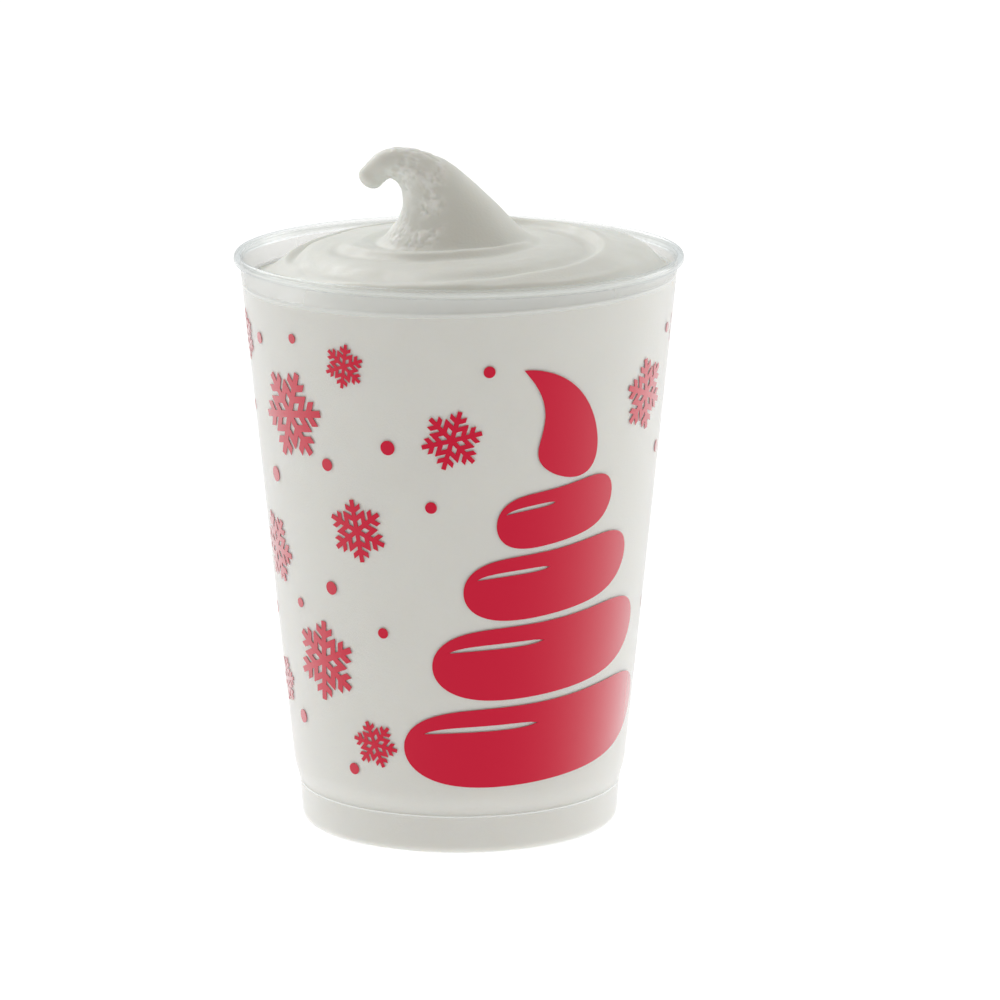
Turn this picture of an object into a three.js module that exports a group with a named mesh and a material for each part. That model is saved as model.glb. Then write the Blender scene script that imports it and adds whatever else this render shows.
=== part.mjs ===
// Clear plastic cup filled with a frozen dairy dessert, which ends in a curled peak.
// Millimetres, +Z up. The origin is on the table, under the middle of the cup.
// The front faces -Y, and the peak curls over towards -X.

import * as THREE from 'three';

const segments = 64;              // steps round the axis, the same for both pieces
const turn = 2 * Math.PI;

// Cup: outside of the wall, from the foot up to the rolled lip.
const footRadius = 32.7;          // where the foot band would meet the table
const footFillet = 1.9;
const stepRadius = 33.3;          // top of the foot band, under the stacking step
const stepHeight = 9.1;
const kneeRadius = 34.3;          // bottom of the straight taper
const kneeHeight = 12.1;
const cornerFillet = 1.4;         // at the step and the knee
const tuckRadius = 44.73;         // top of the straight taper, tucked under the lip
const tuckHeight = 116.9;
const wallThickness = 0.6;

// Cup: rolled lip, a round bead.
const lipRadius = 46;
const lipHalfWidth = 0.75;
const lipWidestHeight = 117.85;
const lipTopHeight = 118.9;

// Cup: base, raised inside a standing ring.
const recessRadius = 29.2;
const recessHeight = 0.9;
const recessSlope = 0.6;          // how far the side of the recess leans inwards
const floorHeight = 1.6;
const grooveRadius = 30.4;        // groove inside the standing ring, as deep as the plastic lets
const grooveHeight = 0.6;

// Dessert: where it meets the wall. It stands higher on the right and at the back.
const wallGap = 0.3;
const fillHeight = 113.7;
const fillRiseRight = 1;
const fillRiseBack = 0.2;

// Dessert: crown, nearly level in the middle and falling past a shoulder to the wall.
const crownHeight = 122.4;
const shoulderRadius = 36;
const shoulderRight = 2.9;        // how much further out it lies on the right
const shoulderFront = 6.4;
const shoulderHeight = 119.5;
const shoulderRiseRight = 0.5;
const shoulderRiseBack = 0.5;
const shoulderRounding = 0.25;    // as a share of the way from shoulder to wall
const levelling = 5;              // the fall flattens at the wall, more suddenly if higher

// Dessert: arcs in the crown. Each is a crest with a crease beside it, both bell shapes
// across the arc. It runs clockwise, seen from above, from an angle that is counted from
// the right by way of the back. A crease's place is counted outwards from the crest.
const innerArc = {
  middleX: -4,
  middleY: -3,
  radius: 17.2,
  growth: 2,                      // of the radius, per turn
  startDegrees: 80,
  turns: 0.76,
  fadeIn: 0.06,                   // in turns
  crestFade: 0.1,
  creaseFade: 0.1,
  height: 0.9,
  insideWidth: 3,
  outsideWidth: 1.3,
  creasePlace: 2.6,
  creaseWidth: 1.5,
  creaseDepth: 0.3,
};
const outerArc = {
  middleX: -2.5,
  middleY: -7.3,
  radius: 32.2,
  growth: 0,
  startDegrees: 100,
  turns: 0.785,
  fadeIn: 0.08,
  crestFade: 0.5,
  creaseFade: 0.06,
  height: 1.1,
  insideWidth: 1.2,
  outsideWidth: 3.2,
  creasePlace: -3.6,
  creaseWidth: 3.2,
  creaseDepth: 0.95,
};
const backArc = {
  middleX: -1,
  middleY: -2,
  radius: 35,
  growth: -1,
  startDegrees: 195,
  turns: 0.29,
  fadeIn: 0.06,
  crestFade: 0.08,
  creaseFade: 0.08,
  height: 0.6,
  insideWidth: 1.3,
  outsideWidth: 2.2,
  creasePlace: -2.4,
  creaseWidth: 1.1,
  creaseDepth: 0.8,
};

// Dessert: curled peak, an oval section between a throat edge and a back edge.
// Each point is [x, z], and both edges run from the wide skirt up to the tip.
const throatEdge = [[-20, 119.9], [-16.8, 120.6], [-13.9, 123.5], [-11.7, 127.5],
  [-11.6, 131.2], [-12.8, 133.6], [-14.1, 134.1], [-15.2, 133.3], [-16, 132.5]];
const backEdge = [[17.5, 121], [14.3, 122.4], [10.7, 125.5], [6.8, 129.5],
  [2.9, 133.4], [-2.3, 137.5], [-9.1, 140.2], [-15.8, 139.6], [-20, 135.8]];
const neckDepth = 0.9;            // front to back, as a share of the oval's width
const skirtShare = 0.16;          // how much of the peak grows out of the crown
const tipLength = 2;

// Rows of faces.
const filletSteps = 3;
const lipSteps = 10;
const crownRows = 26;
const peakRows = 20;
const tipRows = 4;

function smooth(low, high, value) {
  const share = THREE.MathUtils.clamp((value - low) / (high - low), 0, 1);
  return share * share * (3 - 2 * share);
}

// A line through corners [radius, height, fillet], with the filleted ones rounded.
function roundedLine(corners) {
  const points = corners.map(([radius, height]) => new THREE.Vector2(radius, height));
  return corners.flatMap(([, , fillet], index) => {
    const corner = points[index];
    if (!fillet) return [corner];
    const start = points[index - 1].clone().sub(corner).setLength(fillet).add(corner);
    const end = points[index + 1].clone().sub(corner).setLength(fillet).add(corner);
    return new THREE.QuadraticBezierCurve(start, corner, end).getPoints(filletSteps);
  });
}

// The corners of the side, from the foot up to the lip, moved inwards by an inset.
function sideCorners(fillet, inset) {
  return [
    [footRadius - inset, inset, fillet],
    [stepRadius - inset, stepHeight, cornerFillet],
    [kneeRadius - inset, kneeHeight, cornerFillet],
    [tuckRadius - inset, tuckHeight],
  ];
}

// The corners of the surface that faces the dessert, from the middle of the floor up, moved
// inwards by a gap. The inner side of the groove leans half as much as it is deep.
function innerCorners(gap) {
  const inset = wallThickness + gap;
  const floor = floorHeight + gap;
  const bottom = grooveHeight + gap;
  const edge = grooveRadius + gap;
  return [
    [0, floor],
    [edge - (floor - bottom) / 2, floor],
    [edge, bottom],
    ...sideCorners(footFillet - inset, inset),
  ];
}

// The rolled lip, from its tuck outside over the top to the inner wall.
function lipLine() {
  const below = lipWidestHeight - tuckHeight;
  const above = lipTopHeight - lipWidestHeight;
  return Array.from({ length: lipSteps - 1 }, (_, step) => {
    const angle = THREE.MathUtils.lerp(-turn / 4, turn / 2, (step + 1) / lipSteps);
    const rise = Math.sin(angle) * (angle < 0 ? below : above);
    const radius = lipRadius - lipHalfWidth + lipHalfWidth * Math.cos(angle);
    return new THREE.Vector2(radius, lipWidestHeight + rise);
  });
}

function cupGeometry() {
  const recess = [[0, recessHeight], [recessRadius - recessSlope, recessHeight], [recessRadius, 0]];
  const outside = roundedLine([...recess, ...sideCorners(footFillet, 0)]);
  const inside = roundedLine(innerCorners(0));
  const profile = [...outside, ...lipLine(), ...inside.reverse()];
  return new THREE.LatheGeometry(profile, segments).rotateX(turn / 4);
}

// Height of the dessert's edge on the wall. Angles run from +X by way of the back.
function edgeHeight(angle) {
  return fillHeight + fillRiseRight * Math.cos(angle) + fillRiseBack * Math.sin(angle);
}

// Radius of the dessert's edge on the wall.
function edgeRadius(angle) {
  const share = (edgeHeight(angle) - kneeHeight) / (tuckHeight - kneeHeight);
  return THREE.MathUtils.lerp(kneeRadius, tuckRadius, share) - wallThickness - wallGap;
}

// Height that one arc adds at a place on the crown, faded at both of its ends.
function arcHeight(arc, x, y) {
  const acrossX = x - arc.middleX;
  const acrossY = y - arc.middleY;
  const clockwise = THREE.MathUtils.degToRad(arc.startDegrees) - Math.atan2(acrossY, acrossX);
  const turns = THREE.MathUtils.euclideanModulo(clockwise / turn, 1);
  const offset = Math.hypot(acrossX, acrossY) - arc.radius - arc.growth * turns;
  const width = offset > 0 ? arc.outsideWidth : arc.insideWidth;
  const crest = arc.height * Math.exp(-((offset / width) ** 2))
    * smooth(arc.turns, arc.turns - arc.crestFade, turns);
  const beside = (offset - arc.creasePlace) / arc.creaseWidth;
  const crease = arc.creaseDepth * Math.exp(-(beside ** 2))
    * smooth(arc.turns, arc.turns - arc.creaseFade, turns);
  return (crest - crease) * smooth(0, arc.fadeIn, turns);
}

function rippleAt(x, y) {
  return [innerArc, outerArc, backArc].reduce((sum, arc) => sum + arcHeight(arc, x, y), 0);
}

// Height of the crown: a shallow upturned bowl, then a fall from the shoulder to the wall.
function crownAt(x, y) {
  const angle = Math.atan2(y, x);
  const radius = Math.hypot(x, y);
  const shoulder = shoulderHeight + shoulderRiseRight * Math.cos(angle)
    + shoulderRiseBack * Math.sin(angle);
  const shoulderAt = shoulderRadius + shoulderRight * Math.cos(angle)
    + shoulderFront * smooth(-0.1, -1.1, Math.sin(angle));
  const outwards = Math.min(radius / shoulderAt, 1);
  const bowl = THREE.MathUtils.lerp(crownHeight, shoulder, outwards ** 2);
  const share = (radius - shoulderAt) / (edgeRadius(angle) - shoulderAt);
  const softRamp = (value) => (value + Math.hypot(value, shoulderRounding)) / 2;
  const ramp = softRamp(share) / softRamp(1);
  const fallen = (ramp - ramp ** levelling / levelling) / (1 - 1 / levelling);
  const drop = (shoulder - edgeHeight(angle)) * fallen;
  return bowl - drop + rippleAt(x, y) * smooth(1, 0.8, share);
}

// A smooth curve in the plane of the curl.
function edgeCurve(points) {
  return new THREE.CatmullRomCurve3(points.map(([x, z]) => new THREE.Vector3(x, 0, z)));
}

const throat = edgeCurve(throatEdge);
const back = edgeCurve(backEdge);

// A point on the peak: an oval section, whose ends lie on the throat and back edges.
// The skirt takes its height from the crown, and the tip closes by turning inwards.
function peakPoint(along, tipTurn, angle) {
  const inner = throat.getPoint(along);
  const outer = back.getPoint(along);
  const middle = inner.clone().lerp(outer, 0.5);
  const across = outer.clone().sub(inner).divideScalar(2);
  const slimness = THREE.MathUtils.lerp(1, neckDepth, Math.sin(Math.PI * along));
  const inwards = new THREE.Vector3(0, across.length() * slimness, 0);
  const forwards = new THREE.Vector3(-across.z, 0, across.x).setLength(tipLength);
  const point = middle
    .addScaledVector(across, Math.cos(tipTurn) * Math.cos(angle))
    .addScaledVector(inwards, Math.cos(tipTurn) * Math.sin(angle))
    .addScaledVector(forwards, Math.sin(tipTurn));
  const free = smooth(0, skirtShare, along);
  point.z = THREE.MathUtils.lerp(crownAt(point.x, point.y), point.z, free);
  return point;
}

// A point on the crown, on a ring between the wall and the foot of the peak's skirt.
function crownPoint(share, angle) {
  const skirt = peakPoint(0, 0, angle);
  const x = THREE.MathUtils.lerp(edgeRadius(angle) * Math.cos(angle), skirt.x, share);
  const y = THREE.MathUtils.lerp(edgeRadius(angle) * Math.sin(angle), skirt.y, share);
  return new THREE.Vector3(x, y, crownAt(x, y));
}

// The dessert in rings, from the middle of its underside up the wall to the tip.
function dessertRings() {
  const side = roundedLine(innerCorners(wallGap)).slice(0, -1);
  const makers = side.map(({ x: radius, y: height }) => (angle) => (
    new THREE.Vector3(radius * Math.cos(angle), radius * Math.sin(angle), height)));
  for (let row = 0; row < crownRows; row += 1) {
    makers.push((angle) => crownPoint(row / crownRows, angle));
  }
  for (let row = 0; row < peakRows; row += 1) {
    makers.push((angle) => peakPoint(row / peakRows, 0, angle));
  }
  for (let row = 0; row <= tipRows; row += 1) {
    makers.push((angle) => peakPoint(1, (row / tipRows) * (turn / 4), angle));
  }
  return makers;
}

// One closed surface over the rings. The first and the last ring are single points.
function ringGeometry(makers) {
  const last = makers.length - 1;
  const positions = [];
  makers.forEach((maker, row) => {
    const count = row === 0 || row === last ? 1 : segments;
    for (let step = 0; step < count; step += 1) {
      positions.push(...maker((turn * step) / segments).toArray());
    }
  });
  const at = (row, step) => {
    if (row === 0) return 0;
    if (row === last) return 1 + (last - 1) * segments;
    return 1 + (row - 1) * segments + (step % segments);
  };
  const faces = [];
  for (let row = 0; row < last; row += 1) {
    for (let step = 0; step < segments; step += 1) {
      const corners = [at(row, step), at(row, step + 1), at(row + 1, step + 1), at(row + 1, step)];
      if (row > 0) faces.push(corners[0], corners[1], corners[2]);
      if (row < last - 1) faces.push(corners[0], corners[2], corners[3]);
    }
  }
  const geometry = new THREE.BufferGeometry();
  geometry.setAttribute('position', new THREE.Float32BufferAttribute(positions, 3));
  geometry.setIndex(faces);
  return geometry;
}

const clearPlastic = new THREE.MeshStandardMaterial({
  color: 0xeef1f0, roughness: 0.12, metalness: 0, transparent: true, opacity: 0.35,
});
const frozenCream = new THREE.MeshStandardMaterial({
  color: 0xe9e6dc, roughness: 0.55, metalness: 0,
});

const cup = new THREE.Mesh(cupGeometry(), clearPlastic);
cup.name = 'cup';

const dessert = new THREE.Mesh(ringGeometry(dessertRings()), frozenCream);
dessert.name = 'frozen_dessert';

const dessertCup = new THREE.Group();
dessertCup.add(cup, dessert);

export default dessertCup;
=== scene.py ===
import math

import bmesh
import bpy
import numpy as np
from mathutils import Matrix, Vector


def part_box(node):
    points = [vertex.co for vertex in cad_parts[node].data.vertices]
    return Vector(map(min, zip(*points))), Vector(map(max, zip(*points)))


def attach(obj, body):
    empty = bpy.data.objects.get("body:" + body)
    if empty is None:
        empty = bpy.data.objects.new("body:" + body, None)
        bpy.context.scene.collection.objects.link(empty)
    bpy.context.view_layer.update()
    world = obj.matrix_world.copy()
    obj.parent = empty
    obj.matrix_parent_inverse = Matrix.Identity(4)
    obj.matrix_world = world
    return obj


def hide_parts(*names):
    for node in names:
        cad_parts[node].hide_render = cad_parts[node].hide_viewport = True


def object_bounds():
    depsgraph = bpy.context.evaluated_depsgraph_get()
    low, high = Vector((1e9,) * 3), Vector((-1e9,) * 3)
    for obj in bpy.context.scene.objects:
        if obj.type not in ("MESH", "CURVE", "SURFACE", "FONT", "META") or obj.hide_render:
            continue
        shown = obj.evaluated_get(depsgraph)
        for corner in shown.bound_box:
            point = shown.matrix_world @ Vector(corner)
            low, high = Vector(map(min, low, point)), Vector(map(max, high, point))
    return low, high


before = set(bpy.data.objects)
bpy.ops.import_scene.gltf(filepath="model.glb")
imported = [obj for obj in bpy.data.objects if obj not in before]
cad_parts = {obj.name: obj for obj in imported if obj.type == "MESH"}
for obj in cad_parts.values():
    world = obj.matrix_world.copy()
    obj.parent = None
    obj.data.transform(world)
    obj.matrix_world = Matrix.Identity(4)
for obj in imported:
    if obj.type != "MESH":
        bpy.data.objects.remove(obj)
cadLow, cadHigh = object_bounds()
print("frame loaded")

mm = 0.001
fullTurn = 2 * math.pi


class Wire:
    # one output in a tree of shader nodes; arithmetic on wires adds Math nodes
    def __init__(self, tree, socket=None):
        self.tree = tree
        self.socket = socket

    def node(self, kind, settings=None, sockets=None, output=0):
        # any node: its settings come first, then the values or wires of its sockets
        made = self.tree.nodes.new(kind)
        for name, value in (settings or {}).items():
            setattr(made, name, value)
        for name, value in (sockets or {}).items():
            if isinstance(value, Wire):
                self.tree.links.new(value.socket, made.inputs[name])
            else:
                made.inputs[name].default_value = value
        return Wire(self.tree, made.outputs[output]) if made.outputs else None

    def maths(self, operation, left, right):
        return self.node("ShaderNodeMath", {"operation": operation}, {0: left, 1: right})

    def __add__(self, other):
        return self.maths("ADD", self, other)

    def __radd__(self, other):
        return self.maths("ADD", other, self)

    def __sub__(self, other):
        return self.maths("SUBTRACT", self, other)

    def __rsub__(self, other):
        return self.maths("SUBTRACT", other, self)

    def __mul__(self, other):
        return self.maths("MULTIPLY", self, other)

    def __rmul__(self, other):
        return self.maths("MULTIPLY", other, self)

    def __pow__(self, other):
        return self.maths("POWER", self, other)

    def between(self, low, high):
        # 0 below low, 1 above high and an S-curve in between
        settings = {"interpolation_type": "SMOOTHSTEP"}
        return self.node("ShaderNodeMapRange", settings, {0: self, 1: low, 2: high})

    def blend(self, first, second):
        # a colour that goes from first to second as this wire goes from 0 to 1
        return self.node("ShaderNodeMix", {"data_type": "RGBA"}, {0: self, 6: first, 7: second}, 2)

    def noise(self, scale, detail):
        # this wire is the place that the pattern is read at
        sockets = {"Vector": self, "Scale": scale, "Detail": detail}
        return self.node("ShaderNodeTexNoise", None, sockets)

    def bump(self, distance):
        # the wire read as a height, at its full strength of distance in metres
        return self.node("ShaderNodeBump", None, {"Distance": distance, "Height": self})


def newMaterial(name):
    # a material with no nodes, and a wire to start from
    material = bpy.data.materials.new(name)
    material.use_nodes = True
    material.node_tree.nodes.clear()
    return material, Wire(material.node_tree)


def showPiece(name, mesh):
    # an object at the origin, whose mesh holds its place
    piece = bpy.data.objects.new(name, mesh)
    bpy.context.scene.collection.objects.link(piece)
    return piece


def smooth(low, high, value):
    # S-curve from 0 at low to 1 at high
    share = np.clip((value - low) / (high - low), 0, 1)
    return share * share * (3 - 2 * share)


def mix(first, second, share):
    # a straight line from first at 0 to second at 1
    return first + (second - first) * share


cameraView = {
    "distance": 1137.98,     # mm from the cup's axis to the lens
    "aimHeight": 66.82,
    "tilt": 12.40,           # degrees down
    "focalPixels": 5519.23,  # in an image 1000 pixels wide
    "axisColumn": 458.35,    # pixel column of the cup's axis
    "imageWidth": 1000,
    "sensor": 36,
}


def makeCamera(view):
    # looks down at the cup's axis, and turned aside until the axis is on its pixel column
    tilt = math.radians(view["tilt"])
    turn = math.atan((view["imageWidth"] / 2 - view["axisColumn"]) / view["focalPixels"])
    data = bpy.data.cameras.new("camera")
    data.sensor_width = view["sensor"]
    data.lens = view["focalPixels"] / view["imageWidth"] * view["sensor"]
    eye = showPiece("camera", data)
    back = view["distance"] * math.cos(tilt) * mm
    up = (view["aimHeight"] + view["distance"] * math.sin(tilt)) * mm
    eye.location = (0, -back, up)
    eye.rotation_euler = (math.pi / 2 - tilt, 0, -turn)
    bpy.context.scene.camera = eye


makeCamera(cameraView)
print("camera made")

studio = {
    "floorHalf": 6.0,        # metres
    "floorColour": (0.35, 0.35, 0.35, 1),
    "floorGlow": 0.82,
    "pool": [0.1, 0.06, 0.22],     # extra glow near the cup, full and ended at, in metres
    "front": (0.40, 0.368, 0.327, 1),
    "behind": (0.80, 0.82, 0.805, 1),
    "turnover": [-0.4, 0.9],       # how far back a direction points, at front and at behind
    "backdrop": (1, 1, 1, 1),
    "softboxes": [
        # name, place, aim, width and height in metres, radiance
        ["left", (-0.93, 0.08, 0.21), (0, 0, 0.08), 0.5, 0.4, 1.5],
        ["right", (0.95, -0.05, 0.20), (0, 0, 0.08), 0.9, 0.35, 1.2],
        ["edge", (0.80, 0.42, 0.22), (0, 0, 0.08), 0.4, 0.4, 2.4],
        ["top", (-0.60, 0.80, 1.00), (0, 0, 0.10), 1.0, 1.0, 2.4],
    ],
}


def makeStudio(plan):
    # a matt floor that glows, soft lamps of even radiance, and a room that is paler behind
    half = plan["floorHalf"]
    mesh = bpy.data.meshes.new("floor")
    corners = [(-half, -half, 0), (half, -half, 0), (half, half, 0), (-half, half, 0)]
    mesh.from_pydata(corners, [], [(0, 1, 2, 3)])
    floor = showPiece("floor", mesh)
    material, start = newMaterial("floor")
    extra, near, far = plan["pool"]
    place = start.node("ShaderNodeTexCoord", None, None, "Object")
    distance = start.node("ShaderNodeVectorMath", {"operation": "LENGTH"}, {0: place}, "Value")
    glow = plan["floorGlow"] + extra * (1 - distance.between(near, far))
    matt = start.node("ShaderNodeBsdfDiffuse", None, {"Color": plan["floorColour"]})
    light = start.node("ShaderNodeEmission", None, {"Strength": glow})
    surface = start.node("ShaderNodeAddShader", None, {0: matt, 1: light})
    start.node("ShaderNodeOutputMaterial", None, {"Surface": surface})
    mesh.materials.append(material)

    for name, place, aim, width, height, radiance in plan["softboxes"]:
        data = bpy.data.lights.new(name, "AREA")
        data.shape = "RECTANGLE"
        data.size = width
        data.size_y = height
        data.energy = radiance * math.pi * width * height
        lamp = showPiece(name, data)
        lamp.location = place
        towards = Vector(aim) - Vector(place)
        lamp.rotation_euler = towards.to_track_quat("-Z", "Y").to_euler()

    world = bpy.data.worlds.new("surround")
    world.use_nodes = True
    world.node_tree.nodes.clear()
    sky = Wire(world.node_tree)
    direction = sky.node("ShaderNodeTexCoord")
    depth = sky.node("ShaderNodeSeparateXYZ", None, {0: direction}, 1)
    colour = depth.between(*plan["turnover"]).blend(plan["front"], plan["behind"])
    room = sky.node("ShaderNodeBackground", None, {"Color": colour})
    pale = sky.node("ShaderNodeBackground", None, {"Color": plan["backdrop"]})
    seen = sky.node("ShaderNodeLightPath")
    both = sky.node("ShaderNodeMixShader", None, {0: seen, 1: room, 2: pale})
    sky.node("ShaderNodeOutputWorld", None, {"Surface": both})
    bpy.context.scene.world = world
    bpy.context.scene.view_settings.view_transform = "Standard"


makeStudio(studio)
print("studio made")

wall = {
    # outline shared by the cup and what fills it, in mm
    "footRadius": 32.7, "footFillet": 1.9,
    "grooveRadius": 30.4, "grooveHeight": 0.6, "grooveFillet": 0.3,
    "stepRadius": 33.3, "stepHeight": 9.1,
    "kneeRadius": 34.3, "kneeHeight": 12.1, "cornerFillet": 1.4,
    "tuckRadius": 44.73, "tuckHeight": 116.9,
    "thickness": 0.6, "floorHeight": 1.6,
    "filletSteps": 8,
    "supports": [0.15, 0.6, 2.4, 9.0],           # extra points, from each end of a stretch
    "supportReach": 0.45,                        # share of the stretch that they may take
}


def wallRadius(height):
    # outside radius of the straight taper between the knee and the tuck under the lip
    share = (height - wall["kneeHeight"]) / (wall["tuckHeight"] - wall["kneeHeight"])
    return mix(wall["kneeRadius"], wall["tuckRadius"], share)


def roundedLine(corners, steps):
    # corners are [radius, height, fillet]; a filleted one becomes a quadratic curve
    line = []
    share = np.linspace(0, 1, steps + 1)[:, None]
    for index, (radius, height, fillet) in enumerate(corners):
        corner = np.array([radius, height], float)
        if fillet == 0:
            line.append(corner[None])
            continue
        before = np.array(corners[index - 1][:2]) - corner
        after = np.array(corners[index + 1][:2]) - corner
        start = corner + before * fillet / np.hypot(*before)
        end = corner + after * fillet / np.hypot(*after)
        line.append((1 - share) ** 2 * start + 2 * share * (1 - share) * corner + share ** 2 * end)
    return np.concatenate(line)


def sideCorners(fillet, inset):
    # round the foot, over the step and up to the tuck
    return [[wall["footRadius"] - inset, inset, fillet],
            [wall["stepRadius"] - inset, wall["stepHeight"], wall["cornerFillet"]],
            [wall["kneeRadius"] - inset, wall["kneeHeight"], wall["cornerFillet"]],
            [wall["tuckRadius"] - inset, wall["tuckHeight"], 0]]


def innerCorners(gap):
    # what faces the dessert: the floor, a groove inside the foot, and the side
    inset = wall["thickness"] + gap
    floor = wall["floorHeight"] + gap
    rise = floor - wall["grooveHeight"] - gap
    fillet = wall["grooveFillet"]
    return ([[0, floor, 0], [wall["grooveRadius"] - rise / 2 + gap, floor, fillet],
             [wall["grooveRadius"] + gap, wall["grooveHeight"] + gap, fillet]]
            + sideCorners(wall["footFillet"] - inset, inset))


def supported(line):
    # extra points near both ends of each long stretch keep the smooth shading true, and one
    # more is in the middle
    parts = [line[:1]]
    for start, end in zip(line[:-1], line[1:]):
        length = np.hypot(*(end - start))
        near = [distance / length for distance in wall["supports"]
                if distance < length * wall["supportReach"]]
        far = [1 - share for share in reversed(near)]
        shares = np.array(near + [0.5] * int(length > 1) + far + [1])
        parts.append(start + (end - start) * shares[:, None])
    return np.concatenate(parts)


def turned(line, steps):
    # a line of [radius, height] carried once round the axis
    angle = np.arange(steps) * fullTurn / steps
    radius, height = line[:, 0][:, None], line[:, 1][:, None]
    return np.stack([radius * np.cos(angle), radius * np.sin(angle), height + 0 * angle], -1)


def ringPoints(rings):
    # one row for each vertex; the first and the last ring are single points
    middle = rings[1:-1].reshape(-1, *rings.shape[2:])
    return np.concatenate([rings[:1, 0], middle, rings[-1:, 0]])


def ringMesh(name, rings):
    # rings is rows x steps x 3 in mm, from the bottom up
    rows, steps = rings.shape[0] - 2, rings.shape[1]
    points = ringPoints(rings)
    row, step = np.meshgrid(np.arange(rows - 1), np.arange(steps), indexing="ij")
    after = (step + 1) % steps
    quads = np.stack([row * steps + step, row * steps + after,
                      (row + 1) * steps + after, (row + 1) * steps + step], -1) + 1
    edge = np.arange(steps) + 1
    nextEdge = np.roll(edge, -1)
    top = (rows - 1) * steps
    startFan = np.stack([0 * edge, nextEdge, edge], -1)
    endFan = np.stack([0 * edge + len(points) - 1, edge + top, nextEdge + top], -1)
    faces = quads.reshape(-1, 4).tolist() + startFan.tolist() + endFan.tolist()
    mesh = bpy.data.meshes.new(name)
    mesh.from_pydata((points * mm).tolist(), [], faces)
    mesh.shade_smooth()
    return mesh


fill = {
    "intoWall": 0.35,        # how far the dessert reaches into the plastic, mm
    "height": 113.7, "riseRight": 1.0, "riseBack": 0.2,
}

cup = {
    "lipHalfWidth": 0.75, "lipWidestHeight": 117.85, "lipSteps": 48,
    "recessRadius": 29.2, "recessHeight": 0.9, "recessSlope": 0.6, "recessFillets": [0.4, 0.3],
    "steps": 250,
    "milkAndHighlightColour": (0.90, 0.93, 0.925, 1),
    "sheen": [0.01, 0.6, 2.6],       # least, what grazing angles add, and its power
    # milky bands and bands of painted highlight: share, start, full and end in metres, and if they
    # lean as the dessert does
    "wall": {
        "tint": (0.972, 0.966, 0.966, 1), "roughness": 0.24, "hazeAndHighlight": 0.02,
        "bands": [[0.25, 0.1134, 0.1142, 0.2, 1],          # mist over the dessert
                  [0.5, 0.1131, 0.1137, 0.1144, 1],        # painted highlight, a white line along the fill level
                  [0.75, 0.0080, 0.0083, 0.0087, 0]],      # painted highlight, a white line along the step
    },
    "lip": {
        "tint": (0.985, 0.99, 0.99, 1), "edge": (0.80, 0.845, 0.87, 1),
        "roughness": 0.2, "hazeAndHighlight": 0.1,
        "bands": [[0.4, 0.1171, 0.1177, 0.1186, 0]],       # painted highlight along the top of the bead
    },
}


def makePlastic(name, look):
    # clear film: see-through, a little milky, with a sheen that grows towards grazing angles
    material, start = newMaterial(name)
    facing = start.node("ShaderNodeLayerWeight", None, {"Blend": 0.5}, "Facing")
    least, extra, power = cup["sheen"]
    grazing = facing ** power
    body = start.node("ShaderNodeBsdfTransparent", None, {"Color": look["tint"]})
    if "edge" in look:
        # the thick bead darkens towards its edges
        dark = start.node("ShaderNodeBsdfTransparent", None, {"Color": look["edge"]})
        body = start.node("ShaderNodeMixShader", None, {0: grazing, 1: body, 2: dark})
    place = start.node("ShaderNodeTexCoord", None, None, "Object")
    x, y, z = (start.node("ShaderNodeSeparateXYZ", None, {0: place}, axis) for axis in range(3))
    lean = (x * fill["riseRight"] + y * fill["riseBack"]) * (1 / wall["tuckRadius"])
    hazeAndHighlight = look["hazeAndHighlight"]
    # the bands add white diffuse: the mist is milky haze, the fill level, step and bead bands are
    # painted highlights
    for share, low, full, high, leans in look["bands"]:
        level = z - lean if leans else z
        hazeAndHighlight = hazeAndHighlight + share * (level.between(low, full) - level.between(full, high))
    # white diffuse for the milky haze and for the painted highlights
    milkAndHighlight = start.node("ShaderNodeBsdfDiffuse", None, {"Color": cup["milkAndHighlightColour"]})
    body = start.node("ShaderNodeMixShader", None, {0: hazeAndHighlight, 1: body, 2: milkAndHighlight})
    gloss = start.node("ShaderNodeBsdfGlossy", None, {"Roughness": look["roughness"]})
    sheen = least + extra * grazing
    film = start.node("ShaderNodeMixShader", None, {0: sheen, 1: body, 2: gloss})
    start.node("ShaderNodeOutputMaterial", None, {"Surface": film})
    return material


def lipLine():
    # three quarters of an oval from the tuck, round the outside and over the top
    middle = cadHigh.x / mm - cup["lipHalfWidth"]
    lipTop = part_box("cup")[1].z / mm
    angle = np.linspace(-fullTurn / 4, fullTurn / 2, cup["lipSteps"] + 1)[1:-1]
    below = cup["lipWidestHeight"] - wall["tuckHeight"]
    above = lipTop - cup["lipWidestHeight"]
    rise = np.sin(angle) * np.where(angle < 0, below, above)
    radius = middle + cup["lipHalfWidth"] * np.cos(angle)
    return np.stack([radius, cup["lipWidestHeight"] + rise], -1)


def makeCup():
    # the profile up the outside, over the lip and down the inside, carried round the axis
    upper, lower = cup["recessFillets"]
    recess = [[0, cup["recessHeight"], 0],
              [cup["recessRadius"] - cup["recessSlope"], cup["recessHeight"], upper],
              [cup["recessRadius"], 0, lower]]
    outer = sideCorners(wall["footFillet"], 0)
    outside = supported(roundedLine(recess + outer, wall["filletSteps"]))
    inside = supported(roundedLine(innerCorners(0), wall["filletSteps"]))[::-1]
    line = np.concatenate([outside, lipLine(), inside])
    mesh = ringMesh("clear_cup", turned(line, cup["steps"]))
    mesh.materials.append(makePlastic("clear_wall", cup["wall"]))
    mesh.materials.append(makePlastic("clear_lip", cup["lip"]))
    centres = np.zeros(len(mesh.polygons) * 3)
    mesh.polygons.foreach_get("center", centres)
    onLip = centres.reshape(-1, 3)[:, 2] > wall["tuckHeight"] * mm
    mesh.polygons.foreach_set("material_index", onLip.astype(np.int32))
    piece = showPiece("clear_cup", mesh)
    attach(piece, "root")
    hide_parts("cup")


makeCup()
print("cup made")

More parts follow.
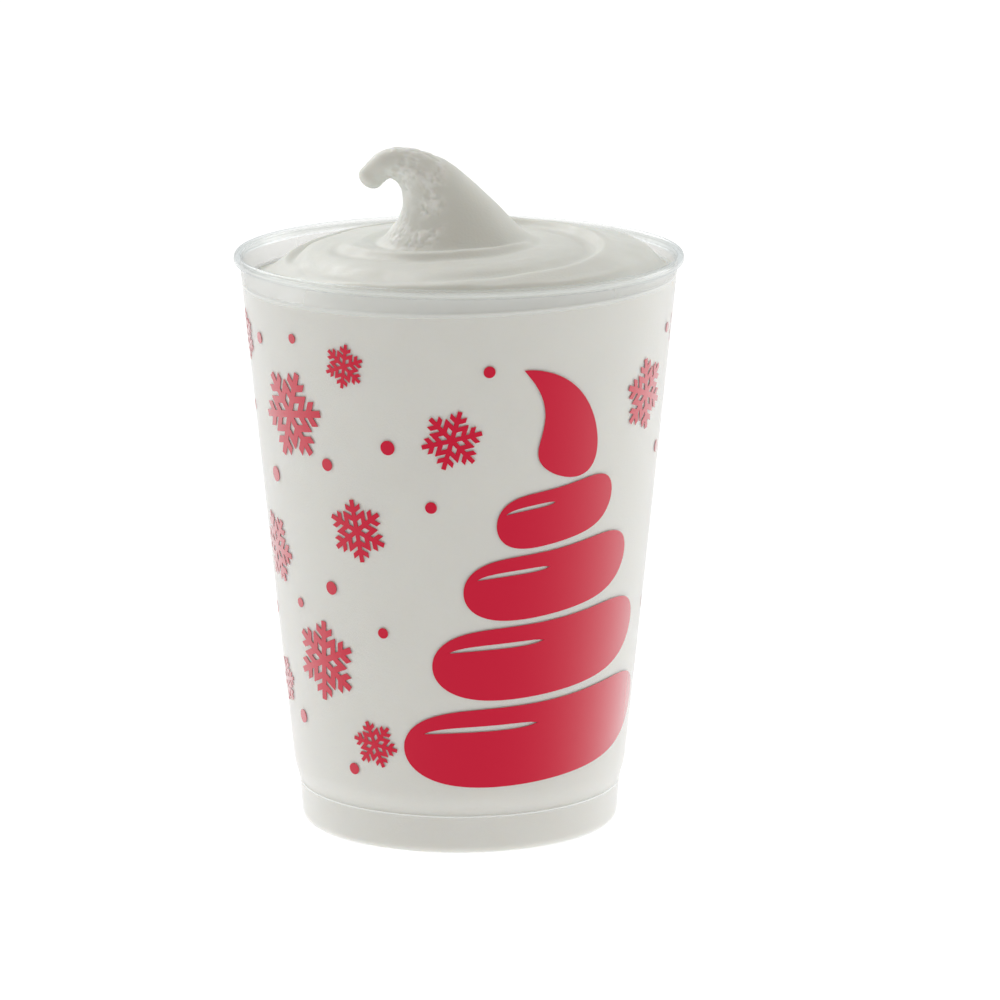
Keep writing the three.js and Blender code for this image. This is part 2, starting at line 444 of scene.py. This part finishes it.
crown = {
    "height": 122.4, "shoulderHeight": 119.5, "shoulderRiseRight": 0.5, "shoulderRiseBack": 0.5,
    "shoulderRadius": 36.0, "shoulderRight": 2.9, "shoulderFront": 6.4,
    "frontFade": [-0.1, -1.1],       # sines of the angles between which the front's part grows
    "shoulderRounding": 0.25, "levelling": 5,
    "rippleFade": [1, 0.8],          # as shares of the way from the shoulder to the wall
}

ripples = {
    # arcs that run clockwise from the start, in mm, degrees and turns; a crease's place,
    # half width and depth are measured outwards from the crest
    "inner": {"middle": (-4, -3), "radius": 17.2, "growth": 2.0, "start": 80, "turns": 0.76,
              "fadeIn": 0.06, "crestFade": 0.1, "creaseFade": 0.1,
              "height": 0.9, "inside": 3.0, "outside": 1.3, "crease": (2.6, 1.5, 0.3)},
    "outer": {"middle": (-2.5, -7.3), "radius": 32.2, "growth": 0, "start": 100, "turns": 0.785,
              "fadeIn": 0.08, "crestFade": 0.5, "creaseFade": 0.06,
              "height": 1.1, "inside": 1.2, "outside": 3.2, "crease": (-3.6, 3.2, 0.95)},
    "back": {"middle": (-1, -2), "radius": 35, "growth": -1, "start": 195, "turns": 0.29,
             "fadeIn": 0.06, "crestFade": 0.08, "creaseFade": 0.08,
             "height": 0.6, "inside": 1.3, "outside": 2.2, "crease": (-2.4, 1.1, 0.8)},
}

peak = {
    "throat": [[-20, 119.9], [-16.8, 120.6], [-13.9, 123.5], [-11.7, 127.5],
               [-11.6, 131.2], [-12.8, 133.6], [-14.1, 134.1], [-15.2, 133.3], [-16, 132.5]],
    "back": [[17.5, 121], [14.3, 122.4], [10.7, 125.5], [6.8, 129.5],
             [2.9, 133.4], [-2.3, 137.5], [-9.1, 140.2], [-15.8, 139.6], [-20, 135.8]],
    "neckDepth": 0.9, "skirtShare": 0.16, "tipLength": 2,
}

dessert = {
    "steps": 288, "crownRows": 100, "peakRows": 112, "tipRows": 10,
    "sideTop": 6.0,                              # mm under the fill line, where the side ends
    "edgeRows": [3.0, 1.0, 0.3],                 # mm under the edge, to keep the side true
    "colour": (0.765, 0.78, 0.745, 1), "paler": (0.78, 0.795, 0.76, 1),
    "tone": [90.0, 4.0, 0.3, 0.7],               # noise scale and detail, and its two ends
    "moist": [260.0, 3.0, 0.35, 0.65],
    "roughness": [0.36, 0.14],                   # where moist, and how much more elsewhere
    "grain": [1600.0, 3.0, 0.00006],             # noise scale and detail, and depth in metres
    "subsurface": [0.35, (1.0, 0.8, 0.6), 0.0016],    # weight, radius and scale in metres
    "unevenness": [7.0, 0.2],                    # size and height of slow lumps, mm
    "lowered": [124.0, 0.02],                    # from this height up, to this far under the top
    "streaks": [1.5, 6.0, 0.07],                 # width, stretch along the swirl, height
    "streaksEnd": 1.0,                           # mm over the crown
    "reliefFade": [3.0, 6.0],                    # mm over the fill line, none and full
    "icy": {  # rough part of the neck, mm
        "left": [-16, -13], "right": [-1, -5], "low": [119.5, 121.5],
        "near": [-6, 15, 11],                    # middle, and how far from it is none and full
        "lumps": [[1.3, 0.16], [0.7, 0.16], [0.45, 0.1]],    # size and height
        "patches": [3.0, -0.8, 0.1],             # size, and the noise between bare and rough
        "colour": (0.93, 0.95, 0.935, 1), "white": [-0.15, 0.15],    # from and at these lumps
    },
}


def edgeHeight(angle):
    # level of the dessert at the wall, which leans a little up to the right and the back
    return fill["height"] + fill["riseRight"] * np.cos(angle) + fill["riseBack"] * np.sin(angle)


def edgeRadius(angle):
    # the wall's inner radius at that level, and a little into the plastic
    return wallRadius(edgeHeight(angle)) - wall["thickness"] + fill["intoWall"]


def rippleAt(x, y):
    # each arc is a crest and a crease beside it, both bell curves across the arc
    height = 0
    for arc in ripples.values():
        acrossX, acrossY = x - arc["middle"][0], y - arc["middle"][1]
        turns = (arc["start"] / 360 - np.arctan2(acrossY, acrossX) / fullTurn) % 1
        offset = np.hypot(acrossX, acrossY) - arc["radius"] - arc["growth"] * turns
        width = np.where(offset > 0, arc["outside"], arc["inside"])
        place, halfWidth, depth = arc["crease"]
        crest = arc["height"] * np.exp(-(offset / width) ** 2)
        crease = depth * np.exp(-((offset - place) / halfWidth) ** 2)
        crest = crest * smooth(arc["turns"], arc["turns"] - arc["crestFade"], turns)
        crease = crease * smooth(arc["turns"], arc["turns"] - arc["creaseFade"], turns)
        height = height + (crest - crease) * smooth(0, arc["fadeIn"], turns)
    return height


def softRamp(value):
    # 0 below zero and the value itself above, with the corner rounded
    return (value + np.hypot(value, crown["shoulderRounding"])) / 2


def crownAt(x, y):
    # height of the crown: a shallow bowl, a rounded shoulder, a fall to the wall, the ripple
    angle = np.arctan2(y, x)
    radius = np.hypot(x, y)
    shoulder = (crown["shoulderHeight"] + crown["shoulderRiseRight"] * np.cos(angle)
                + crown["shoulderRiseBack"] * np.sin(angle))
    shoulderRadius = (crown["shoulderRadius"] + crown["shoulderRight"] * np.cos(angle)
                      + crown["shoulderFront"] * smooth(*crown["frontFade"], np.sin(angle)))
    bowl = mix(crown["height"], shoulder, np.minimum(radius / shoulderRadius, 1) ** 2)
    share = (radius - shoulderRadius) / (edgeRadius(angle) - shoulderRadius)
    fallen = softRamp(share) / softRamp(1)
    power = crown["levelling"]
    fallen = (fallen - fallen ** power / power) / (1 - 1 / power)
    drop = (shoulder - edgeHeight(angle)) * fallen
    return bowl - drop + rippleAt(x, y) * smooth(*crown["rippleFade"], share)


def splineAt(points, along):
    # centripetal Catmull-Rom curve through the points, at shares 0 to 1 of the way along
    points = np.array(points, float)
    before = 2 * points[:1] - points[1:2]
    after = 2 * points[-1:] - points[-2:-1]
    padded = np.concatenate([before, points, after])
    place = along * (len(points) - 1)
    index = np.minimum(place.astype(int), len(points) - 2)
    share = (place - index)[:, None]
    p0, p1, p2, p3 = (padded[index + step] for step in range(4))
    gap0, gap1, gap2 = (np.sqrt(np.linalg.norm(end - start, axis=1))[:, None]
                        for start, end in ((p0, p1), (p1, p2), (p2, p3)))
    leave = ((p1 - p0) / gap0 - (p2 - p0) / (gap0 + gap1) + (p2 - p1) / gap1) * gap1
    arrive = ((p2 - p1) / gap1 - (p3 - p1) / (gap1 + gap2) + (p3 - p2) / gap2) * gap1
    squared, cubed = share ** 2, share ** 3
    return (p1 * (2 * cubed - 3 * squared + 1) + p2 * (3 * squared - 2 * cubed)
            + leave * (cubed - 2 * squared + share) + arrive * (cubed - squared))


def peakRings(along, tipTurn, angle):
    # ovals from the throat edge to the back edge; the skirt's height comes from the crown
    inner, outer = splineAt(peak["throat"], along), splineAt(peak["back"], along)
    middle, across = (inner + outer) / 2, (outer - inner) / 2
    halfWidth = np.linalg.norm(across, axis=1)
    depth = halfWidth * mix(1, peak["neckDepth"], np.sin(np.pi * along))
    forwards = np.stack([-across[:, 1], across[:, 0]], -1) / halfWidth[:, None]
    size, push = np.cos(tipTurn)[:, None], np.sin(tipTurn)[:, None] * peak["tipLength"]
    cosine, sine = np.cos(angle)[None], np.sin(angle)[None]
    x = middle[:, :1] + across[:, :1] * size * cosine + forwards[:, :1] * push
    z = middle[:, 1:] + across[:, 1:] * size * cosine + forwards[:, 1:] * push
    y = depth[:, None] * size * sine
    free = smooth(0, peak["skirtShare"], along)[:, None]
    return np.stack([x, y, mix(crownAt(x, y), z, free)], -1)


def crownRings(shares, angle):
    # rings between the wall and the foot of the peak's skirt
    skirt = peakRings(np.zeros(1), np.zeros(1), angle)[0]
    edge = edgeRadius(angle)
    x = mix(edge * np.cos(angle), skirt[:, 0], shares[:, None])
    y = mix(edge * np.sin(angle), skirt[:, 1], shares[:, None])
    return np.stack([x, y, crownAt(x, y)], -1)


def lumpsAt(points, size, seed):
    # smooth random heights from -1 to 1: random values on a cubic lattice, blended between
    cells = 32
    table = np.random.default_rng(seed).uniform(-1, 1, (cells, cells, cells))
    place = points / size
    cell = np.floor(place).astype(int)
    share = smooth(0, 1, place - cell)
    height = 0
    for corner in np.ndindex(2, 2, 2):
        weight = np.prod(np.where(corner, share, 1 - share), axis=-1)
        x, y, z = np.moveaxis((cell + corner) % cells, -1, 0)
        height = height + weight * table[x, y, z]
    return height


def outwards(rings):
    # unit normals of a closed set of rings: across each ring crossed with up the rows
    across = np.roll(rings, -1, 1) - np.roll(rings, 1, 1)
    normals = np.cross(across, np.gradient(rings, axis=0))
    return normals / np.maximum(np.linalg.norm(normals, axis=-1, keepdims=True), 1e-9)


def crownRelief(rings):
    # slow lumps, and streaks drawn out round the swirl; both fade before the wall
    middle = ripples["outer"]["middle"]
    x, y, z = np.moveaxis(rings, -1, 0)
    radius, angle = np.hypot(x - middle[0], y - middle[1]), np.arctan2(y - middle[1], x - middle[0])
    width, stretch, height = dessert["streaks"]
    drawnOut = np.stack([radius, stretch * np.cos(angle), stretch * np.sin(angle)], -1)
    streaks = height * lumpsAt(drawnOut, width, 10)
    relief = streaks * smooth(crown["height"] + dessert["streaksEnd"], crown["height"], z)
    size, height = dessert["unevenness"]
    relief = relief + height * lumpsAt(rings, size, 1)
    none, full = dessert["reliefFade"]
    return relief * smooth(fill["height"] + none, fill["height"] + full, z)


def iceAt(rings):
    # share of ice from 0 to 1, in patches on the left of the neck
    icy = dessert["icy"]
    x, y, z = np.moveaxis(rings, -1, 0)
    size, bare, rough = icy["patches"]
    middle, none, full = icy["near"]
    ice = smooth(bare, rough, lumpsAt(rings, size, 2))
    ice = ice * smooth(none, full, np.hypot(x - middle, y))
    return ice * smooth(*icy["left"], x) * smooth(*icy["right"], x) * smooth(*icy["low"], z)


def iceRelief(rings):
    # lumps of several sizes, one on another
    return sum(height * lumpsAt(rings, size, 3 + seed)
               for seed, (size, height) in enumerate(dessert["icy"]["lumps"]))


def lowerPeak(height):
    # bends the peak down, as the square of the way up it, until its lumps are under the top
    # of the solid
    start, margin = dessert["lowered"]
    highest = height.max()
    excess = highest - (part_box("frozen_dessert")[1].z / mm - margin)
    share = np.maximum(height - start, 0) / (highest - start)
    height -= max(excess, 0) * share ** 2


def makeCream():
    # milky, a little see-through, moist in patches, with a fine grain
    material, start = newMaterial("frozen_cream")
    place = start.node("ShaderNodeTexCoord", None, None, "Object")
    scale, detail, low, high = dessert["moist"]
    moist = place.noise(scale, detail).between(low, high)
    scale, detail, depth = dessert["grain"]
    grain = place.noise(scale, detail).bump(depth)
    scale, detail, low, high = dessert["tone"]
    tone = place.noise(scale, detail).between(low, high)
    ice = start.node("ShaderNodeAttribute", {"attribute_name": "ice"}, None, "Fac")
    cream = tone.blend(dessert["colour"], dessert["paler"])
    least, extra = dessert["roughness"]
    weight, radius, reach = dessert["subsurface"]
    surface = start.node("ShaderNodeBsdfPrincipled", None, {
        "Base Color": ice.blend(cream, dessert["icy"]["colour"]),
        "Roughness": least + extra * moist, "Normal": grain,
        "Subsurface Weight": weight, "Subsurface Radius": radius, "Subsurface Scale": reach})
    start.node("ShaderNodeOutputMaterial", None, {"Surface": surface})
    return material


def makeDessert():
    # rings up the side, over the crown and up the peak, moved along their normals by the relief
    steps = dessert["steps"]
    angle = np.arange(steps) * fullTurn / steps
    corners = innerCorners(-fill["intoWall"])
    side = supported(roundedLine(corners, wall["filletSteps"]))
    side = side[side[:, 1] < fill["height"] - dessert["sideTop"]]
    below = edgeHeight(angle) - np.array(dessert["edgeRows"])[:, None]
    radius = wallRadius(below) - wall["thickness"] + fill["intoWall"]
    along = np.arange(dessert["peakRows"]) / dessert["peakRows"]
    tip = np.linspace(0, fullTurn / 4, dessert["tipRows"] + 1)
    rings = np.concatenate([
        turned(side, steps),
        np.stack([radius * np.cos(angle), radius * np.sin(angle), below], -1),
        crownRings(np.arange(dessert["crownRows"]) / dessert["crownRows"], angle),
        peakRings(along, 0 * along, angle),
        peakRings(np.ones_like(tip), tip, angle),
    ])
    ice = iceAt(rings)
    lumps = iceRelief(rings)
    relief = crownRelief(rings) + ice * lumps
    rings = rings + outwards(rings) * relief[..., None]
    lowerPeak(rings[..., 2])
    mesh = ringMesh("soft_dessert", rings)
    whiteness = ice * smooth(*dessert["icy"]["white"], lumps)
    mesh.attributes.new("ice", "FLOAT", "POINT").data.foreach_set("value", ringPoints(whiteness))
    mesh.materials.append(makeCream())
    piece = showPiece("soft_dessert", mesh)
    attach(piece, "root")
    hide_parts("frozen_dessert")


makeDessert()
print("dessert made")

printed = {
    "outside": 0.05, "thickness": 0.08,          # ink over the wall, mm
    "sets": [30, 210],                           # degrees round the cup, from the front
    "ribbons": [
        # half width, middle height, thickness, rise to the right, mm
        [30.0, 26.0, 17.0, 5.0],
        [25.0, 43.5, 15.5, 5.0],
        [19.5, 59.0, 13.5, 5.0],
        [13.5, 72.5, 11.5, 4.5],
    ],
    "sag": 0.07, "fullness": 4.5,                # sag is a share of the half width
    "glint": [-0.86, -0.1, 0.5, 0.07],           # start, end, level and half its width
    "glintFullness": 4,
    "ribbonGrid": [121, 7], "curlGrid": [61, 13], "armSteps": 9, "dotCorners": 24,
    "curl": [[0.6, 79.3], [4.5, 96.0], [-9.5, 102.0]], "curlHalfWidth": 9.0,
    "curlTaper": 0.85, "curlRounding": 10, "curlCrowding": 1.6,    # powers
    "crystals": [
        # degrees from the swirl's middle, height, arm length, degrees turned
        [96, 90, 9.5, 8], [119, 68, 6.5, 38], [78, 60, 7.5, -6], [102, 39, 8.5, 24],
        [72, 31, 5.0, 12], [121, 23, 5.0, 50], [118, 102, 4.6, 20], [68, 103, 5.2, 33],
        [-32, 88, 6.2, 14], [33, 93, 7.6, 42],
    ],
    # shares of an arm's length: its half width, and the places and lengths of its barbs
    "armHalfWidth": 0.075, "barbs": [[0.4, 0.34], [0.68, 0.22]],
    "dots": [
        # degrees from the swirl's middle, height, radius
        [110, 81, 1.3], [84, 76, 1.6], [66, 88, 1.1], [108, 55, 1.4], [92, 50, 1.0],
        [86, 25, 1.4], [112, 17, 1.2], [64, 45, 1.3], [126, 47, 1.1], [82, 104, 1.2],
        [130, 86, 1.5], [-22, 102, 1.2], [48, 80, 1.3], [46, 105, 1.1], [-38, 74, 1.2],
        [100, 106, 1.0],
    ],
    "colour": (0.62, 0.012, 0.045, 1), "roughness": 0.5, "specular": 0.1,
    "gloss": [0.16, 2.4],                        # roughness, and the power of its growth
    "weld": 1e-6,                                # metres between points that are one
    "sharpAngle": 40,
}


def onWall(across, height, degrees):
    # points in mm on the outside of the wall: across runs round it from the given direction
    radius = wallRadius(height) + printed["outside"]
    angle = math.radians(degrees) + across / radius
    return np.stack([radius * np.sin(angle), -radius * np.cos(angle), height], -1)


def ribbonPatches(halfWidth, middle, thickness, rise):
    # a plump band that sags in the middle, split in two by a thin glint near its left end
    columns, rows = printed["ribbonGrid"]
    share = np.sin(np.linspace(-1, 1, columns) * np.pi / 2)
    centre = middle + rise * share / 2 - printed["sag"] * halfWidth * (1 - share ** 2)
    half = thickness / 2 * np.sqrt(np.maximum(1 - np.abs(share) ** printed["fullness"], 0))
    start, end, level, width = printed["glint"]
    along = np.clip((share - start) / (end - start), 0, 1)
    roundness = np.abs(2 * along - 1) ** printed["glintFullness"]
    gap = width * np.sqrt(np.maximum(1 - roundness, 0))
    patches = []
    for low, high in ((-1 + 0 * gap, level - gap), (level + gap, 1 + 0 * gap)):
        up = mix(low[None], high[None], np.linspace(0, 1, rows)[:, None])
        patches.append((halfWidth * share + 0 * up, centre + half * up))
    return patches


def curlPatch():
    # a tapering hook along a quadratic curve, with a foot that sags like the ribbons
    start, bend, end = np.array(printed["curl"], float)
    rows, columns = printed["curlGrid"]
    along = np.linspace(0, 1, rows)[:, None] ** printed["curlCrowding"]
    across = np.linspace(-1, 1, columns)[None]
    line = (1 - along) ** 2 * start + 2 * along * (1 - along) * bend + along ** 2 * end
    heading = 2 * (1 - along) * (bend - start) + 2 * along * (end - bend)
    heading = heading / np.linalg.norm(heading, axis=1)[:, None]
    rounding = np.sqrt(1 - (1 - along) ** printed["curlRounding"])
    half = printed["curlHalfWidth"] * (1 - along) ** printed["curlTaper"] * rounding
    return (line[:, :1] + half * across * heading[:, 1:],
            line[:, 1:] - half * across * heading[:, :1])


def discPatch(radius, corners, turn=0.0):
    # a filled regular outline, from the rim to the middle
    reach = np.array([[1], [0.5], [0]]) * radius
    angle = turn + np.arange(corners + 1)[None] * fullTurn / corners
    return reach * np.cos(angle), reach * np.sin(angle)


def crystalPatches(armLength, degrees):
    # a six-sided middle, six arms, and two pairs of barbs that leave each arm at 60 degrees
    half = printed["armHalfWidth"] * armLength
    armStart = half * math.sqrt(3)
    bars = [[(armStart, 0), (1, 0), (0, half), armLength - armStart]]
    for place, length in printed["barbs"]:
        for side in (1, -1):
            slanted = (0.5, side * math.sqrt(0.75))
            edge = (-side * half / math.sqrt(0.75), 0)
            bars.append([(place * armLength, side * half), slanted, edge, length * armLength])
    patches = [discPatch(2 * half, 6, math.radians(degrees + 30))]
    along, side = np.linspace(0, 1, printed["armSteps"])[None], np.array([[-1], [1]])
    for arm in range(6):
        turn = math.radians(degrees + 60 * arm)
        for start, heading, edge, length in bars:
            x = start[0] + heading[0] * length * along + edge[0] * side
            y = start[1] + heading[1] * length * along + edge[1] * side
            patches.append((x * math.cos(turn) - y * math.sin(turn),
                            x * math.sin(turn) + y * math.cos(turn)))
    return patches


def inkMesh(name, placed):
    # each patch is a grid on the wall; to go along its columns and then its rows is to turn
    # anticlockwise, seen from outside
    points, faces, used = [], [], 0
    for (across, up), height, degrees in placed:
        grid = onWall(across, up + height, degrees)
        rows, columns = grid.shape[:2]
        row, column = np.meshgrid(np.arange(rows - 1), np.arange(columns - 1), indexing="ij")
        corner = used + row * columns + column
        quads = [corner, corner + 1, corner + columns + 1, corner + columns]
        faces.append(np.stack(quads, -1).reshape(-1, 4))
        points.append(grid.reshape(-1, 3))
        used += rows * columns
    mesh = bpy.data.meshes.new(name)
    mesh.from_pydata((np.concatenate(points) * mm).tolist(), [], np.concatenate(faces).tolist())
    tidy = bmesh.new()
    tidy.from_mesh(mesh)
    bmesh.ops.remove_doubles(tidy, verts=tidy.verts, dist=printed["weld"])
    tidy.to_mesh(mesh)
    tidy.free()
    mesh.shade_smooth()
    return mesh


def makeInk():
    # flat crimson seen from the front, washed out by its gloss towards grazing angles
    material, start = newMaterial("crimson_ink")
    colour = start.node("ShaderNodeBsdfPrincipled", None, {
        "Base Color": printed["colour"], "Roughness": printed["roughness"],
        "Specular IOR Level": printed["specular"]})
    roughness, power = printed["gloss"]
    gloss = start.node("ShaderNodeBsdfGlossy", None, {"Roughness": roughness})
    facing = start.node("ShaderNodeLayerWeight", None, {"Blend": 0.5}, "Facing")
    surface = start.node("ShaderNodeMixShader", None, {0: facing ** power, 1: colour, 2: gloss})
    start.node("ShaderNodeOutputMaterial", None, {"Surface": surface})
    return material


def makePrint():
    # the same motifs in each set, and one mesh with the thickness of ink for each kind
    ink = makeInk()
    swirls, crystals, dots = [], [], []
    for degrees in printed["sets"]:
        for ribbon in printed["ribbons"]:
            swirls += [(patch, 0, degrees) for patch in ribbonPatches(*ribbon)]
        swirls.append((curlPatch(), 0, degrees))
        for offset, height, armLength, turn in printed["crystals"]:
            patches = crystalPatches(armLength, turn)
            crystals += [(patch, height, degrees + offset) for patch in patches]
        for offset, height, radius in printed["dots"]:
            dots.append((discPatch(radius, printed["dotCorners"]), height, degrees + offset))
    for name, placed in (("print_swirls", swirls), ("print_crystals", crystals),
                         ("print_dots", dots)):
        mesh = inkMesh(name, placed)
        mesh.materials.append(ink)
        piece = showPiece(name, mesh)
        layer = piece.modifiers.new("layer", "SOLIDIFY")
        layer.thickness = printed["thickness"] * mm
        layer.offset = -1
        solid = piece.evaluated_get(bpy.context.evaluated_depsgraph_get())
        piece.data = bpy.data.meshes.new_from_object(solid)
        piece.modifiers.clear()
        piece.data.set_sharp_from_angle(angle=math.radians(printed["sharpAngle"]))
        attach(piece, "root")


makePrint()
print("print made")
